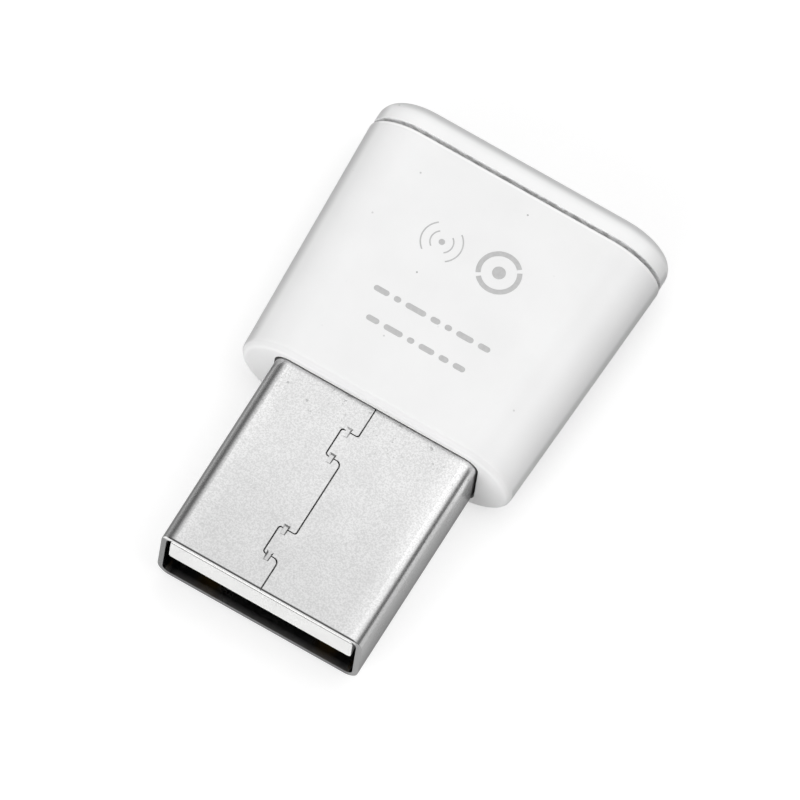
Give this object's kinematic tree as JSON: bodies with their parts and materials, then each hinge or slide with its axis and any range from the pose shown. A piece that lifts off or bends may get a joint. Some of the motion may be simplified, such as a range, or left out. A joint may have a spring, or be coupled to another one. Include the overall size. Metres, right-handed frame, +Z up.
{
  "type": "plug-in signal repeater",
  "caption": "Short white plastic stick with half-round sides and an end cap, carrying a folded metal USB-A plug; repeats a home network's radio signal.",
  "frame": {"origin": "under the middle of the whole object, in the plane that its flat underside rests on", "axes": "+X is the width, +Y runs from the plug's tip to the end cap, +Z is up, out of the face on the side of the plug's seam"},
  "size_m": [0.0174, 0.028, 0.006],
  "materials": {
    "housing": "white moulded plastic, fine satin sheen",
    "shell_steel": "bright nickel-plated folded sheet with a fine satin grain",
    "insulator": "white moulded insulator, matte",
    "contact_metal": "gold-plated spring strip",
    "board": "green lacquered glass-fibre board",
    "chip_body": "black moulded chip body",
    "crystal_lid": "pressed metal lid",
    "copper": "etched copper foil",
    "ceramic": "tan fired ceramic with tinned ends",
    "resistor_body": "black coated chip with tinned ends",
    "solder": "bright soft solder"
  },
  "bodies": {
    "root": {"housing_sleeve": "housing", "end_cap": "housing", "usb_shell": "shell_steel", "usb_tongue": "insulator", "contact_power": "contact_metal", "contact_data_minus": "contact_metal", "contact_data_plus": "contact_metal", "contact_ground": "contact_metal", "circuit_board": "board", "radio_chip": "chip_body", "radio_crystal": "crystal_lid", "voltage_regulator": "chip_body", "antenna_trace": "copper", "bulk_capacitor": "ceramic", "ceramic_capacitors": "ceramic", "chip_resistors": "resistor_body", "rf_inductors": "ceramic", "supply_ferrite": "resistor_body", "contact_solder": "solder", "shell_solder": "solder"}
  },
  "joints": []
}
